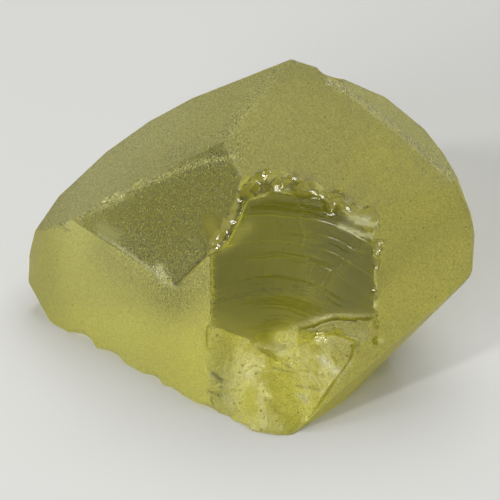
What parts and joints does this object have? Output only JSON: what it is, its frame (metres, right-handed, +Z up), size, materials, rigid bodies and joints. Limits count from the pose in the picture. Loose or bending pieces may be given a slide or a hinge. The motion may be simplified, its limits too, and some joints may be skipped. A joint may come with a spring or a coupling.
{
  "type": "raw lemon quartz",
  "caption": "Rough broken lump of see-through lemon quartz with flat frosted faces, a clear rippled shell-shaped scar and a crushed corner, resting on a flat foot.",
  "frame": {"origin": "on the ground, under the middle of the stone's box", "axes": "+Z up, the clear scar faces -Y, and the stone is longest along X"},
  "size_m": [0.0462, 0.0334, 0.0329],
  "materials": {
    "lemon_quartz": "frosted broken skin, with one clear and glossy scar"
  },
  "bodies": {
    "root": {"lemon_quartz": "lemon_quartz"}
  },
  "joints": []
}
